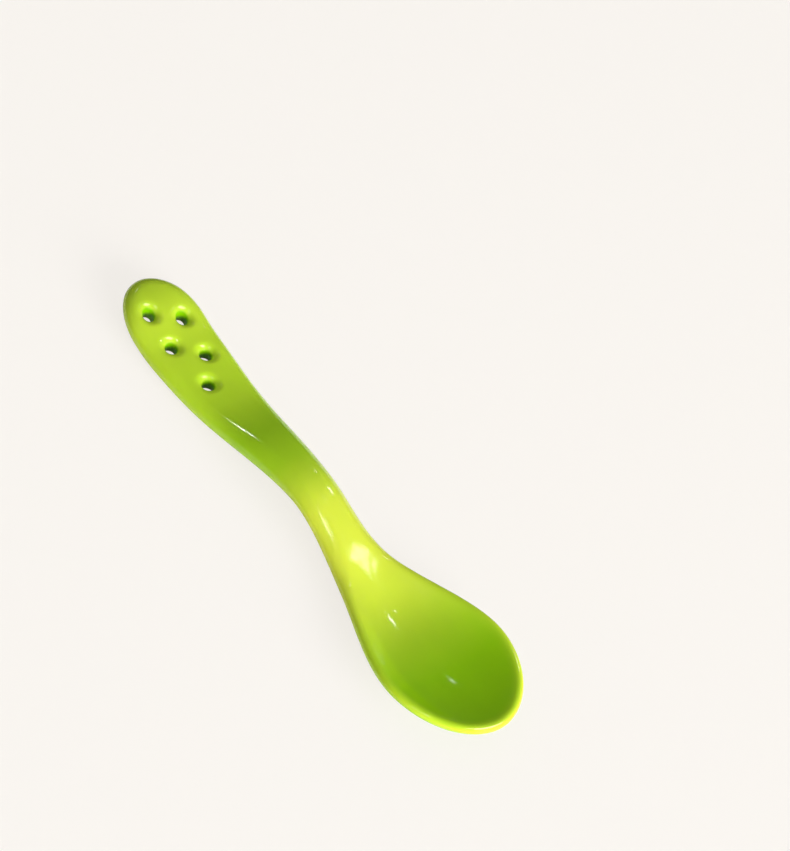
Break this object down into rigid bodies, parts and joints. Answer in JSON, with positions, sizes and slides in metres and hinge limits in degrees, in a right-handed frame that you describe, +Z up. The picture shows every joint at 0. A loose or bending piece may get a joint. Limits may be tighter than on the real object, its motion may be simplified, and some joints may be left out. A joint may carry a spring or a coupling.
{
  "type": "baby spoon",
  "caption": "One-piece moulded feeding spoon for a small child: flat paddle grip with through holes, arched stem, narrow neck and shallow egg-shaped bowl.",
  "frame": {"origin": "on the table under the middle of the spoon's bounding box, where the spoon lies on its grip and its bowl", "axes": "+X along the spoon from the grip to the bowl's tip, +Y to the left seen from above, +Z up, out of the bowl"},
  "size_m": [0.1351, 0.0318, 0.0112],
  "materials": {
    "green_plastic": "glossy moulded polypropylene, opaque lime green"
  },
  "bodies": {
    "root": {"grip": "green_plastic", "stem": "green_plastic", "neck": "green_plastic", "bowl": "green_plastic"}
  },
  "joints": []
}
